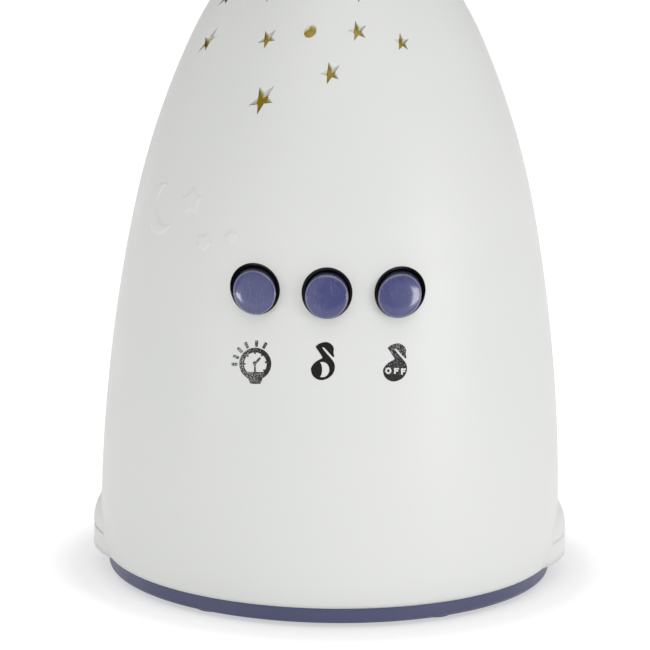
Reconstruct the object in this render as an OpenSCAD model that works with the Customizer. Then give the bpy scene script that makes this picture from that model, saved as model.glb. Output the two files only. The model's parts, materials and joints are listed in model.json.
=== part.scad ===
// Star night light projector: a round-shouldered shell with star holes in its crown,
// a lamp deck and a coloured filter dome behind them, three push buttons in front,
// and a round base that holds the loudspeaker, the cells and the main board.
// Millimetres. Z is up, the table is z = 0, and the buttons face -Y.

/* [Shell] */
// Overall height, feet included
body_h = 175; // [168:1:184]
// Radius at the widest ring
body_r = 59.7; // [58:0.1:62]
// Height of the widest ring above the table
belly_z = 12; // [11:0.5:14]
// Radius of the arc that leads from the flank into the shoulder
shoulder_r = 208; // [190:1:225]
// Radius of the arc that leads from the shoulder into the crown
crown_r = 92; // [86:1:98]
// Slope of the wall where the flank arc ends
flank_tilt = 11; // [10:0.5:12]
// Slope of the wall where the shoulder arc ends
shoulder_tilt = 24; // [22:0.5:26]
// Slope of the wall where the crown arc ends and the round tip begins
crown_tilt = 45; // [43:0.5:48]
// Radius of the arc that turns in below the widest ring
foot_r = 18; // [16:1:24]
// Radius of the round on the shell's lower edge
lip_r = 0.6; // [0.4:0.1:0.8]
// Wall thickness
wall = 2.5; // [2.2:0.1:2.8]

/* [Side pads] */
// How far the pads at the left and right foot of the shell stand proud
pad_proud = 2.1; // [1.4:0.1:2.4]
// Radius of a pad seen from above
pad_r = 32; // [26:1:36]
// Azimuth of the middle of a pad, counted from the front
pad_azimuth = 92; // [86:1:96]
// Radius of a pad's upper swell seen from the front
pad_swell_r = 12; // [10:0.5:16]
// Radius of a pad's lower bead
pad_toe_r = 3.6; // [3:0.1:4]
// Height of the groove between the two
pad_groove_z = 11; // [9.5:0.1:11.5]
// Radius of that groove
pad_groove_r = 0.35; // [0.3:0.05:0.6]

/* [Star holes] */
// Wall thickness of the crown, which holds the star holes
crown_wall = 1.5; // [1.4:0.1:1.8]
// Tip radius of the large stars
star_big = 3; // [2.6:0.1:3.4]
// Tip radius of the middle-sized stars
star_mid = 2.5; // [2.2:0.1:2.8]
// Tip radius of the small stars
star_small = 2.2; // [1.9:0.1:2.4]
// Radius of the round holes
star_round = 1.5; // [1.3:0.1:1.9]
// Radius of a star's inner corners, as a share of its tip radius
star_waist = 0.42; // [0.36:0.01:0.5]
// Turn of every star about its own middle
star_turn = 4; // [0:1:10]
// Azimuth of the direction along which the holes of the front half are cut
slide_azimuth = 21.5; // [15:0.5:30]
// Slope of that direction above the level
slide_tilt = 57; // [50:1:64]

/* [Buttons] */
// Distance between neighbouring buttons
button_pitch = 18; // [17:0.1:19]
// Height of the button holes
button_z = 85; // [80:1:90]
// Radius of the holes in the shell
button_hole_r = 6.3; // [6:0.1:6.5]
// Radius of the caps
cap_r = 5.35; // [5.1:0.05:5.4]
// How far the caps stand out of the shell
cap_proud = 2; // [1.4:0.1:2.6]
// How far the caps hang below the middle of their holes
cap_sag = 0.5; // [0:0.1:0.5]
// Travel of a button
button_travel = 1; // [0.6:0.1:1.2]
// Thickness of the flange that keeps a cap from being pulled out
cap_flange_t = 1.4; // [1:0.1:2]
// Width of that flange outside the cap
cap_flange_w = 1.2; // [1:0.05:1.25]

/* [Base] */
// Radius of the coloured base ring
base_r = 57.5; // [57:0.1:58]
// Height of the coloured base ring
base_ring_h = 4.2; // [3.8:0.1:5]
// Thickness of the base's floor
floor_t = 2.8; // [2.6:0.1:3.2]
// Height of the rubber feet below the floor
foot_h = 1; // [0.8:0.1:1.4]
// Height of the spigot that centres the shell
spigot_h = 5; // [4:0.5:7]
// Thickness of the base's upright walls
base_wall = 2.2; // [1.8:0.1:2.4]

/* [Cells] */
// Number of cells side by side
cell_count = 3; // [2:1:3]
// Radius of a cell
cell_r = 7.1; // [6.9:0.05:7.2]
// Length of a cell without its nub
cell_body_l = 49.2; // [47:0.1:49.5]
// Length of the nub at a cell's positive end
cell_nub_l = 1.2; // [1:0.1:1.5]
// Room for the pressed spring at a cell's negative end
spring_l = 4.6; // [4:0.1:5]
// Thickness of the battery door
door_t = 1.8; // [1.6:0.1:2]

/* [Loudspeaker] */
// Radius of the loudspeaker's flange
speaker_r = 20; // [18:0.5:20.5]
// Height from the flange's face to the back of the magnet
speaker_h = 13; // [11:0.5:16]
// Radius of the grille holes
grille_hole_r = 1.2; // [0.9:0.1:1.4]

/* [Lamps] */
// Height of the lamp deck's upper face
deck_z = 112.5; // [108:0.5:114]
// Thickness of the lamp deck
deck_t = 2; // [1.6:0.1:2.6]
// Thickness of the filter dome
filter_t = 1.2; // [1:0.1:1.6]
// Radius of the lamp board
lamp_board_r = 16; // [15:0.5:18]
// Number of lamps
lamp_count = 4; // [3:1:5]
// Radius of a lamp's round body
lamp_r = 2.5; // [1.5:0.1:2.5]

/* [Fasteners and fits] */
// Shank radius of the base screws
base_screw_r = 1.45; // [1.25:0.05:1.6]
// Shank radius of the small inner screws
small_screw_r = 1.1; // [0.9:0.05:1.2]
// Thickness of the circuit boards
board_t = 1.6; // [1:0.1:2]
// Gap around parts that move or are lifted off
free_gap = 0.3; // [0.3:0.05:0.4]
// Gap around parts that are fitted once
fit_gap = 0.15; // [0.1:0.05:0.2]
// Radial gap of a screw or plunger in its hole
bore_gap = 0.06; // [0.04:0.01:0.1]

/* [Hidden] */

$fn = 64;
fine = 720;
eps = 0.01;

shell_white = [0.93, 0.93, 0.91];
toy_purple = [0.34, 0.34, 0.56];
amber = [0.85, 0.62, 0.1];
jet = [0.05, 0.05, 0.06];
board_green = [0.1, 0.35, 0.2];
steel = [0.7, 0.7, 0.72];
rubber_grey = [0.25, 0.25, 0.27];
lead_red = [0.55, 0.1, 0.08];

// Levels of the base
floor_z = foot_h + floor_t;
ring_z = foot_h + base_ring_h;
shell_z = ring_z;
base_edge_r = 1.1;

// ---- Outline of the shell: four arcs, each tangent to the next ----

// Each arc stands this much further out than its larger neighbour, so that the two
// cross where they meet
arc_step = 0.004;
arc_lap = 3;

tip_share = (1 - sin(crown_tilt)) / cos(crown_tilt);

function rise(t0, t1) = sin(t1) - sin(t0) - tip_share * (cos(t0) - cos(t1));

// The flank arc takes up whatever height the other arcs leave
flank_r = (body_h - 3 * arc_step - belly_z - tip_share * body_r
    - shoulder_r * rise(flank_tilt, shoulder_tilt)
    - crown_r * rise(shoulder_tilt, crown_tilt)) / rise(0, flank_tilt);

function on_arc(middle, r, tilt) = middle + r * [cos(tilt), sin(tilt)];

flank_c = [body_r - flank_r, belly_z];
shoulder_c = on_arc(flank_c, flank_r - shoulder_r, flank_tilt);
crown_c = on_arc(shoulder_c, shoulder_r - crown_r, shoulder_tilt);
tip_r = crown_r + crown_c[0] / cos(crown_tilt);
tip_c = on_arc(crown_c, crown_r - tip_r, crown_tilt);

// Each arc: its middle, radius, and the slopes of the wall where it starts and ends
ARCS = [
    [flank_c, flank_r, 0, flank_tilt],
    [shoulder_c, shoulder_r + arc_step, flank_tilt, shoulder_tilt],
    [crown_c, crown_r + 2 * arc_step, shoulder_tilt, crown_tilt],
    [[0, tip_c[1]], tip_r + 3 * arc_step, crown_tilt, 90]
];

// The arc that holds a slope, and the arc that holds a height, at a depth below the skin
function arc_at_tilt(t) = t < flank_tilt ? 0 : t < shoulder_tilt ? 1 : t < crown_tilt ? 2 : 3;
function arc_top(i, inset) = on_arc(ARCS[i][0], ARCS[i][1] - inset, ARCS[i][3])[1];
function arc_at_height(z, inset) =
    z < arc_top(0, inset) ? 0 : z < arc_top(1, inset) ? 1 : z < arc_top(2, inset) ? 2 : 3;

// Point [radius, height] of the skin where it has this slope
function skin_point(tilt, inset = 0) =
    let (a = ARCS[arc_at_tilt(tilt)]) on_arc(a[0], a[1] - inset, tilt);

// Radius of the skin at this height
function skin_radius(z, inset = 0) =
    let (a = ARCS[arc_at_height(z, inset)]) a[0][0] + sqrt(pow(a[1] - inset, 2) - pow(z - a[0][1], 2));

module pie(middle, r, t0, t1) {
    intersection() {
        translate(middle) circle(r = r, $fn = fine);
        polygon([middle, for (t = [t0, (t0 + t1) / 2, t1]) on_arc(middle, 1.4 * r, t)]);
    }
}

// Half outline of everything deeper than inset below the skin, from the widest ring up,
// or from a little below it
module dome_outline(inset, start_tilt = 0) {
    intersection() {
        union() {
            pie(ARCS[0][0], ARCS[0][1] - inset, start_tilt, flank_tilt);
            for (i = [1 : 2]) pie(ARCS[i][0], ARCS[i][1] - inset, ARCS[i][2] - arc_lap, ARCS[i][3]);
            pie(ARCS[3][0], ARCS[3][1] - inset, crown_tilt - arc_lap, 90 + arc_lap);
            translate([0, belly_z]) square([tip_r / 2, tip_c[1] + tip_r / 2 - belly_z]);
        }
        square([body_r - inset + 1, body_h - inset + 1]);
    }
}

// Half outline of the stretch below the widest ring
foot_turn = asin((belly_z - shell_z - lip_r) / (foot_r - lip_r));
foot_c = [body_r - foot_r, belly_z];
lip_c = on_arc(foot_c, foot_r - lip_r, -foot_turn);

module foot_outline() {
    intersection() {
        union() {
            pie(foot_c, foot_r + arc_step, -foot_turn, 2 * arc_lap);
            translate(lip_c) circle(r = lip_r + 2 * arc_step);
            translate([0, shell_z - 1]) square([lip_c[0], belly_z - shell_z + 2]);
        }
        translate([0, shell_z]) square([body_r + 1, belly_z]);
    }
}

// Half outline of the shell's outside
module body_outline() {
    union() {
        dome_outline(0);
        foot_outline();
    }
}

// Half outline of the room inside the shell, with a straight mouth
module room_outline(inset) {
    union() {
        dome_outline(inset, -1);
        translate([0, shell_z - 1]) square([body_r - inset - arc_step, belly_z - shell_z + 1]);
    }
}

// Half outline of the whole room inside the shell, wider in the crown
module hollow_outline() {
    union() {
        room_outline(wall);
        intersection() {
            dome_outline(crown_wall);
            translate([0, crown_z]) square([body_r, body_h]);
        }
    }
}

module dome_solid(inset) {
    rotate_extrude() dome_outline(inset);
}

// ---- Placing helpers ----

// A rod along Y, from y0 back to y1
module rod_y(x, z, y0, y1, r) {
    translate([x, y0, z]) rotate([-90, 0, 0]) cylinder(h = y1 - y0, r = r);
}

// A rod along Z, from z0 up to z1
module rod_z(at, z0, z1, r) {
    translate([at[0], at[1], z0]) cylinder(h = z1 - z0, r = r);
}

// Cross recess in a screw head, as shares of the head's radius
recess_l = 1.3;
recess_w = 0.3;

// A pan-head screw: shank up from the seat, head below it
module screw_up(at, seat_z, shank_l, shank_r, head_r, head_h) {
    difference() {
        union() {
            rod_z(at, seat_z - eps, seat_z + shank_l, shank_r);
            rod_z(at, seat_z - head_h, seat_z, head_r);
        }
        for (turn = [0, 90]) {
            translate([at[0], at[1], seat_z - head_h]) rotate(turn)
                cube([head_r * recess_l, head_r * recess_w, head_h], center = true);
        }
    }
}

module screw_down(at, seat_z, shank_l, shank_r, head_r, head_h) {
    translate([at[0], at[1], seat_z]) mirror([0, 0, 1])
        screw_up([0, 0], 0, shank_l, shank_r, head_r, head_h);
}

// Position at an azimuth counted from the front, seen from above
function around(azimuth, r) = [r * sin(azimuth), -r * cos(azimuth)];

// ---- Star holes ----

// Azimuth, slope of the wall and kind of each hole in the field that is repeated at the back
STAR_FIELD = [
    [-63, 33.2, "small"], [-60.3, 25.5, "small"], [-34.4, 35, "small"], [-27.8, 27.5, "small"],
    [-24.6, 21.3, "big"], [-9.8, 29.2, "round"], [-0.5, 23.4, "mid"], [10.3, 29.4, "mid"],
    [13.6, 35.7, "mid"], [28.8, 27.3, "small"], [50, 38.5, "mid"]
];
// Single holes on the far side
STAR_EXTRAS = [[97, 27, "mid"], [106, 35, "small"], [229, 26, "mid"], [244, 22, "big"], [257, 28, "round"]];
// Rings round the crown: slope, number of holes, first azimuth, kind
STAR_RINGS = [[43, 8, 4, "mid"], [58, 6, 20, "small"], [73, 4, 0, "small"]];

STARS = concat(
    [for (turn = [0, 180]) for (s = STAR_FIELD) [s[0] + turn, s[1], s[2]]],
    STAR_EXTRAS,
    [for (ring = STAR_RINGS) for (i = [0 : ring[1] - 1]) [ring[2] + i * 360 / ring[1], ring[0], ring[3]]]
);

function star_tip(kind) =
    kind == "big" ? star_big : kind == "mid" ? star_mid : kind == "small" ? star_small : star_round;

module star_2d(tip) {
    polygon([
        for (i = [0 : 9])
            let (r = i % 2 == 0 ? tip : tip * star_waist, a = 90 + 36 * i) r * [cos(a), sin(a)]
    ]);
}

// The two slides of the mould form the holes, so those of each half lie along one direction
function slide_of(azimuth) = slide_azimuth + 180 * round((azimuth - slide_azimuth) / 180);

// Cosine of the angle between the wall's outward direction and the slide's
function slant_of(azimuth, tilt) =
    cos(tilt) * cos(slide_tilt) * cos(azimuth - slide_of(azimuth)) + sin(tilt) * sin(slide_tilt);

// How far a cutter reaches past the wall on each side
cutter_over = 1.5;

module star_cutter(azimuth, tilt, kind) {
    at = skin_point(tilt);
    p = around(azimuth, at[0]);
    slant = slant_of(azimuth, tilt);
    reach = star_tip(kind) * sqrt(1 / pow(slant, 2) - 1) + cutter_over;
    depth = reach + crown_wall / slant;
    translate([p[0], p[1], at[1]]) rotate([90 - slide_tilt, 0, slide_of(azimuth)]) rotate(star_turn)
        translate([0, 0, -depth]) {
            if (kind == "round") {
                cylinder(h = depth + reach, r = star_tip(kind));
            } else {
                linear_extrude(depth + reach) star_2d(star_tip(kind));
            }
        }
}

// ---- Places that several parts share ----

// Small inner screws, and the webs that tie posts to walls
small_head_r = 2.2;
small_head_h = 1.4;
small_bite = 3.5;
web_t = 1.6;
web_inset = 0.5;

// The spigot that centres the shell, and the room inside it
spigot_r = body_r - wall - fit_gap;
room_r = min(spigot_r, base_r) - base_wall;

// Base screws
base_post_z = 14;
base_post_r = 5;
base_post_gap = 1.55;
base_screw_at = [for (a = [-60, 60, -115, 115]) around(a, room_r - base_post_r - base_post_gap)];
shell_post_r = 3.8;
shell_post_h = 20;
base_head_r = 2.8;
base_head_h = 2;
base_seat_z = 9;
base_shank_l = 14;

// Lamp deck screws, on ears that stay clear of the shell
deck_ear_r = 4;
deck_ear_gap = 0.9;
deck_screw_r = skin_radius(deck_z, wall) - deck_ear_r - deck_ear_gap;
deck_screw_at = [for (a = [80, 200, 320]) around(a, deck_screw_r)];
ear_web = 7.6;
deck_post_r = 3;
filter_ear_t = 1.5;
filter_foot_r = deck_screw_r - deck_ear_r + 0.5;
deck_post_z = deck_z + filter_ear_t;
deck_shank_l = 10;
wire_hole_r = 3.5;
deck_rib_l = filter_foot_r - wire_hole_r - 7;
deck_rib_h = 4;

// Height from which the wall is the crown's
crown_z = deck_z + 9.5;

// Buttons, from the shell's inside back to the board
button_x = [-button_pitch, 0, button_pitch];
button_axis_z = button_z - cap_sag;
flange_r = cap_r + cap_flange_w;
guide_r = flange_r + free_gap;
guide_wall = 1.4;
guide_out_r = guide_r + guide_wall;
frame_w = 2 * (button_pitch + guide_out_r + 1.2);
frame_h = 22;
frame_t = 2;
frame_corner_r = 4;
frame_shell_gap = 0.6;
frame_y = frame_shell_gap
    - sqrt(pow(skin_radius(button_axis_z + frame_h / 2, wall), 2) - pow(frame_w / 2, 2));
stop_y = frame_y - 3;
flange_y = stop_y + free_gap;
stem_r = 2.2;
stem_l = 1.3;
plunger_y = flange_y + cap_flange_t + stem_l;
plunger_r = 1.75;
plunger_l = 2.6;
switch_y = plunger_y + button_travel + 0.4;
switch_w = 6;
switch_h = 3.5;
button_board_y = switch_y + switch_h;
button_board_w = frame_w - 2;
button_board_h = 21;
button_screw_at = [for (x = [-0.5, 0.5]) for (z = [-8.6, 8.6]) [x * button_pitch, button_axis_z + z]];
button_post_r = 2.6;
button_shank_l = 12;

// Cells
cell_nub_r = 2.75;
cell_pitch = 2 * cell_r + 1;
contact_t = 0.5;
contact_w = 10;
bay_l = cell_body_l + cell_nub_l + spring_l + 2 * contact_t;
bay_w = cell_count * cell_pitch;
bay_y = 17.5;
cell_z = foot_h + door_t + 2 * free_gap + cell_r;
bay_top_z = cell_z + cell_r + free_gap;
box_wall = 2.4;
box_top_z = bay_top_z + 2;
door_lap = 1.6;
door_seat_z = foot_h + door_t + free_gap;
function cell_y(i) = bay_y + (i - (cell_count - 1) / 2) * cell_pitch;

// Battery door
door_l = bay_l + 2 * door_lap;
door_w = bay_w + 2 * door_lap;
hinge_gap = 0.9;
tongue_w = 8;
tongue_l = 2.5;
tongue_root = 2;
tongue_t = 1.2;
tongue_y = [bay_y - 12, bay_y + 12];
strip_t = 0.9;
// The door swings on a round bead under each tongue, which rides on the base's strip
bead_r = 0.55;
bead_gap = 0.05;
hinge_x = -door_l / 2 - 1.35;
hinge_z = foot_h + strip_t + bead_gap + bead_r;
tongue_room = 1.2;
lug_r = 5;
lug_web = 9;
lug_t = 3.2;
lug_at = [door_l / 2 + 3.6, bay_y];
lug_post_z = foot_h + lug_t + free_gap;
lug_post_h = 5;
door_head_r = 2.6;
door_head_h = 1.4;
door_shank_r = 1.3;
door_seat_t = 1.4;

// Leads, each drawn as one round tube
lead_r = 0.6;
lead_hole_gap = 0.4;
lead_sides = 8;
lead_steps = 3;
// How far the battery leads stand from the ends of the bay and from the middles of their cells
lead_end = 0.8;
lead_off = 4;
// The first contact plate is at -X; the last cell's lies on this side
last_side = cell_count % 2 == 1 ? 1 : -1;
battery_lead_at = [
    [-bay_l / 2 + lead_end, cell_y(0) + lead_off],
    [last_side * (bay_l / 2 - lead_end), cell_y(cell_count - 1) - lead_off]
];

// Main board
main_board_l = 52;
main_board_w = 36;
main_post_r = 2.6;
main_post_h = 3;
main_board_z = box_top_z + main_post_h;
board_top_z = main_board_z + board_t;
main_post_inset = 4;
main_post_x = main_board_l / 2 - main_post_inset;
main_post_y = main_board_w / 2 - main_post_inset;
main_post_at = [for (x = [-1, 1]) for (y = [-1, 1]) [x * main_post_x, bay_y + y * main_post_y]];

// Loudspeaker
speaker_at = [0, -29];
speaker_flange_t = 0.8;
speaker_well_h = 2.8;
speaker_well_wall = 1.6;
magnet_r = 11;
magnet_h = 5;
clamp_ring_w = 2.2;
clamp_t = 1.5;
clamp_z = floor_z + speaker_well_h;
clamp_screw_at = [for (x = [-1, 1]) [x * (speaker_r + 5), speaker_at[1]]];
clamp_post_r = 3.2;
clamp_web = 5.8;

// Feet
foot_pad_r = 5;
foot_pad_sink = 0.6;
foot_at = [[-27.5, -41], [27.5, -41], [-38.5, 33], [38.5, 33]];

// ---- Shell ----

pad_lift = 0.2;
pad_toe_cut = 0.15 * pad_toe_r;
pad_toe_z = shell_z + pad_lift + pad_toe_cut;
pad_core = 6;
pad_step = 0.1;
pad_swell_z = pad_groove_z + 0.7;

// Half section of a side pad: a tall swell above a low bead, with a fine groove between them
module pad_section() {
    difference() {
        union() {
            intersection() {
                translate([pad_r - pad_swell_r, pad_swell_z]) circle(r = pad_swell_r);
                translate([pad_r - pad_core, pad_groove_z]) square([pad_core + 1, pad_swell_r + 2]);
            }
            translate([pad_r - pad_core, pad_toe_z]) square([pad_core - pad_step, pad_swell_z - pad_toe_z]);
            intersection() {
                translate([pad_r - pad_toe_r, pad_toe_z]) circle(r = pad_toe_r);
                translate([pad_r - pad_core, shell_z + pad_lift]) square([pad_core + 1, pad_toe_r]);
            }
        }
        translate([pad_r, pad_groove_z]) circle(r = pad_groove_r);
    }
}

module side_pad() {
    translate([body_r + pad_proud - pad_r, 0, 0]) rotate_extrude() pad_section();
}

module side_pads() {
    for (side = [-1, 1]) rotate(side * pad_azimuth - 90) side_pad();
}

// Posts inside the shell, each with what ties it to the wall
module shell_posts() {
    for (p = base_screw_at) {
        rod_z(p, base_post_z, base_post_z + shell_post_h, shell_post_r);
        rotate(atan2(p[1], p[0])) translate([norm(p), -web_t / 2, base_post_z + web_inset])
            cube([body_r - norm(p), web_t, shell_post_h - 2 * web_inset]);
    }
    for (p = deck_screw_at) rod_z(p, deck_post_z, body_h, deck_post_r);
    for (p = button_screw_at) rod_y(p[0], p[1], -body_r, frame_y, button_post_r);
}

module outer_shell() {
    color(shell_white) difference() {
        union() {
            difference() {
                union() {
                    rotate_extrude() body_outline();
                    side_pads();
                }
                rotate_extrude() hollow_outline();
            }
            intersection() {
                shell_posts();
                rotate_extrude() room_outline(crown_wall / 2);
            }
        }
        for (x = button_x) rod_y(x, button_z, -body_r, -body_r / 2, button_hole_r);
        for (s = STARS) star_cutter(s[0], s[1], s[2]);
        for (p = base_screw_at) {
            rod_z(p, base_post_z - eps, base_seat_z + base_shank_l + 1, base_screw_r + bore_gap);
        }
        for (p = deck_screw_at) {
            rod_z(p, deck_post_z - eps, deck_z - deck_t + deck_shank_l + 1, small_screw_r + bore_gap);
        }
        for (p = button_screw_at) {
            rod_y(p[0], p[1], button_board_y + board_t - button_shank_l - 1, frame_y + eps,
                small_screw_r + bore_gap);
        }
    }
}

// ---- Filter dome, lamp deck and lamps ----

module filter_outline(inset, foot) {
    intersection() {
        dome_outline(inset);
        translate([0, deck_z]) square([foot, body_h]);
    }
}

// A flat ear: a round pad with a web towards the middle, from z0 up
module ear(p, inner_r, z0, t) {
    rotate(atan2(p[1], p[0])) translate([0, 0, z0]) linear_extrude(t) {
        translate([norm(p), 0]) circle(r = deck_ear_r);
        translate([inner_r, -ear_web / 2]) square([norm(p) - inner_r, ear_web]);
    }
}

module star_filter_dome() {
    color(amber) difference() {
        union() {
            rotate_extrude() filter_outline(crown_wall + free_gap, filter_foot_r);
            for (p = deck_screw_at) ear(p, filter_foot_r - 1, deck_z, filter_ear_t);
        }
        translate([0, 0, -eps]) rotate_extrude()
            filter_outline(crown_wall + free_gap + filter_t, filter_foot_r - filter_t);
        for (p = deck_screw_at) rod_z(p, deck_z - 1, deck_z + 3, small_screw_r + free_gap);
    }
}

lamp_post_r = 2.2;
lamp_post_h = 5;
lamp_board_z = deck_z + lamp_post_h;
lamp_post_inset = 3.5;
lamp_post_at = [for (a = [0, 120, 240]) around(a, lamp_board_r - lamp_post_inset)];
lamp_pin_r = 0.9;
lamp_pin_over = 0.8;

module lamp_deck() {
    color(shell_white) difference() {
        union() {
            rod_z([0, 0], deck_z - deck_t, deck_z, filter_foot_r);
            for (p = deck_screw_at) {
                ear(p, filter_foot_r - 1, deck_z - deck_t, deck_t);
                rotate(atan2(p[1], p[0]))
                    translate([wire_hole_r + 1, -web_t / 2, deck_z - deck_t - deck_rib_h])
                    cube([deck_rib_l, web_t, deck_rib_h + eps]);
            }
            for (p = lamp_post_at) {
                rod_z(p, deck_z - eps, lamp_board_z, lamp_post_r);
                rod_z(p, lamp_board_z - eps, lamp_board_z + board_t + lamp_pin_over, lamp_pin_r);
            }
        }
        for (p = deck_screw_at) rod_z(p, deck_z - deck_t - 1, deck_z + 1, small_screw_r + free_gap);
        rod_z([0, 0], deck_z - deck_t - 5, deck_z + 1, wire_hole_r);
    }
}

module deck_screws() {
    color(steel) for (p = deck_screw_at) {
        screw_up(p, deck_z - deck_t, deck_shank_l, small_screw_r, small_head_r, small_head_h);
    }
}

lamp_ring_r = 6.5;
lamp_at = [for (i = [0 : lamp_count - 1]) around(i * 360 / lamp_count + 45, lamp_ring_r)];
lamp_flange_t = 1;
lamp_body_h = 5;

module lamp_board() {
    color(board_green) difference() {
        rod_z([0, 0], lamp_board_z, lamp_board_z + board_t, lamp_board_r);
        for (p = lamp_post_at) rod_z(p, lamp_board_z - 1, lamp_board_z + board_t + 1, lamp_pin_r + bore_gap);
    }
}

module lamps() {
    foot_z = lamp_board_z + board_t;
    color("white") for (p = lamp_at) {
        rod_z(p, foot_z, foot_z + lamp_flange_t, lamp_r + 0.4);
        rod_z(p, foot_z, foot_z + lamp_body_h, lamp_r);
        translate([p[0], p[1], foot_z + lamp_body_h]) sphere(r = lamp_r);
    }
}

// ---- Buttons ----

module button_cap(x) {
    color(toy_purple) {
        intersection() {
            rod_y(x, button_axis_z, -body_r - cap_proud - 1, flange_y + eps, cap_r);
            dome_solid(-cap_proud);
        }
        rod_y(x, button_axis_z, flange_y, flange_y + cap_flange_t, flange_r);
        rod_y(x, button_axis_z, flange_y, plunger_y, stem_r);
    }
}

module button_left() {
    button_cap(button_x[0]);
}

module button_middle() {
    button_cap(button_x[1]);
}

module button_right() {
    button_cap(button_x[2]);
}

module switch_plunger(x) {
    color(jet) rod_y(x, button_axis_z, plunger_y, plunger_y + plunger_l, plunger_r);
}

module switch_plunger_left() {
    switch_plunger(button_x[0]);
}

module switch_plunger_middle() {
    switch_plunger(button_x[1]);
}

module switch_plunger_right() {
    switch_plunger(button_x[2]);
}

// A plate with round corners that stands upright, from y0 back to y1
module upright_plate(w, h, r, y0, y1) {
    translate([0, y1, button_axis_z]) rotate([90, 0, 0]) linear_extrude(y1 - y0) {
        square([w - 2 * r, h], center = true);
        square([w, h - 2 * r], center = true);
        for (x = [-1, 1]) for (z = [-1, 1]) translate([x * (w / 2 - r), z * (h / 2 - r)]) circle(r = r);
    }
}

module button_frame() {
    color(jet) difference() {
        union() {
            upright_plate(frame_w, frame_h, frame_corner_r, frame_y, frame_y + frame_t);
            intersection() {
                for (x = button_x) rod_y(x, button_axis_z, -body_r, frame_y + eps, guide_out_r);
                dome_solid(wall + free_gap);
            }
            for (p = button_screw_at) {
                rod_y(p[0], p[1], frame_y + frame_t - eps, button_board_y, button_post_r);
            }
        }
        for (x = button_x) {
            rod_y(x, button_axis_z, -body_r, stop_y + eps, cap_r + free_gap);
            rod_y(x, button_axis_z, stop_y, button_board_y + 1, guide_r);
        }
        for (p = button_screw_at) {
            rod_y(p[0], p[1], frame_y - 1, button_board_y + 1, small_screw_r + free_gap);
        }
    }
}

module switch_housings() {
    color(jet) for (x = button_x) {
        difference() {
            translate([x - switch_w / 2, switch_y, button_axis_z - switch_w / 2])
                cube([switch_w, switch_h, switch_w]);
            rod_y(x, button_axis_z, switch_y - 1, switch_y + switch_h - 0.5, plunger_r + bore_gap);
        }
    }
}

module button_board() {
    color(board_green) difference() {
        upright_plate(button_board_w, button_board_h, 1.5, button_board_y, button_board_y + board_t);
        for (p = button_screw_at) {
            rod_y(p[0], p[1], button_board_y - 1, button_board_y + board_t + 1, small_screw_r + free_gap);
        }
    }
}

module button_screws() {
    seat = button_board_y + board_t;
    color(steel) for (p = button_screw_at) {
        translate([p[0], seat, p[1]]) rotate([90, 0, 0])
            screw_up([0, 0], 0, button_shank_l, small_screw_r, small_head_r, small_head_h);
    }
}

// ---- Base ----

module base_outline() {
    square_r = base_r - base_edge_r;
    difference() {
        union() {
            translate([0, foot_h]) square([square_r, base_edge_r]);
            translate([square_r, foot_h + base_edge_r]) circle(r = base_edge_r);
            translate([0, foot_h + base_edge_r]) square([base_r, base_ring_h - base_edge_r]);
            translate([0, ring_z - eps]) square([spigot_r, spigot_h + eps]);
        }
        translate([-1, floor_z]) square([room_r + 1, body_h]);
        translate([-base_edge_r * 2, 0]) square([base_edge_r * 2, body_h]);
    }
}

// The box round the cells, open below
module cell_box_walls() {
    translate([-bay_l / 2 - box_wall, bay_y - bay_w / 2 - box_wall, door_seat_z])
        cube([bay_l + 2 * box_wall, bay_w + 2 * box_wall, box_top_z - door_seat_z]);
    rod_z(lug_at, lug_post_z, lug_post_z + lug_post_h, lug_r - 0.6);
}

module door_outline_cut() {
    translate([-door_l / 2 - hinge_gap, bay_y - door_w / 2 - free_gap, foot_h - 1])
        cube([door_l + hinge_gap + free_gap, door_w + 2 * free_gap, door_seat_z - foot_h + 1]);
    rod_z(lug_at, foot_h - 1, lug_post_z, lug_r + free_gap);
    translate([door_l / 2, bay_y - lug_web / 2 - free_gap, foot_h - 1])
        cube([lug_at[0] - door_l / 2, lug_web + 2 * free_gap, door_seat_z - foot_h + 1]);
    for (y = tongue_y) {
        translate([-door_l / 2 - tongue_l - free_gap, y - tongue_w / 2 - free_gap, foot_h + strip_t])
            cube([tongue_l + tongue_root + 1, tongue_w + 2 * free_gap,
                hinge_z + tongue_t + tongue_room - foot_h - strip_t]);
    }
}

// Rings of round holes under the loudspeaker: radius and number
GRILLE = [[0, 1], [4.6, 6], [9.2, 12], [13.8, 18]];

module grille_cut() {
    for (ring = GRILLE) for (i = [0 : ring[1] - 1]) {
        p = around(i * 360 / ring[1], ring[0]);
        rod_z(speaker_at + p, foot_h - 1, floor_z + 1, grille_hole_r);
    }
}

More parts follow.
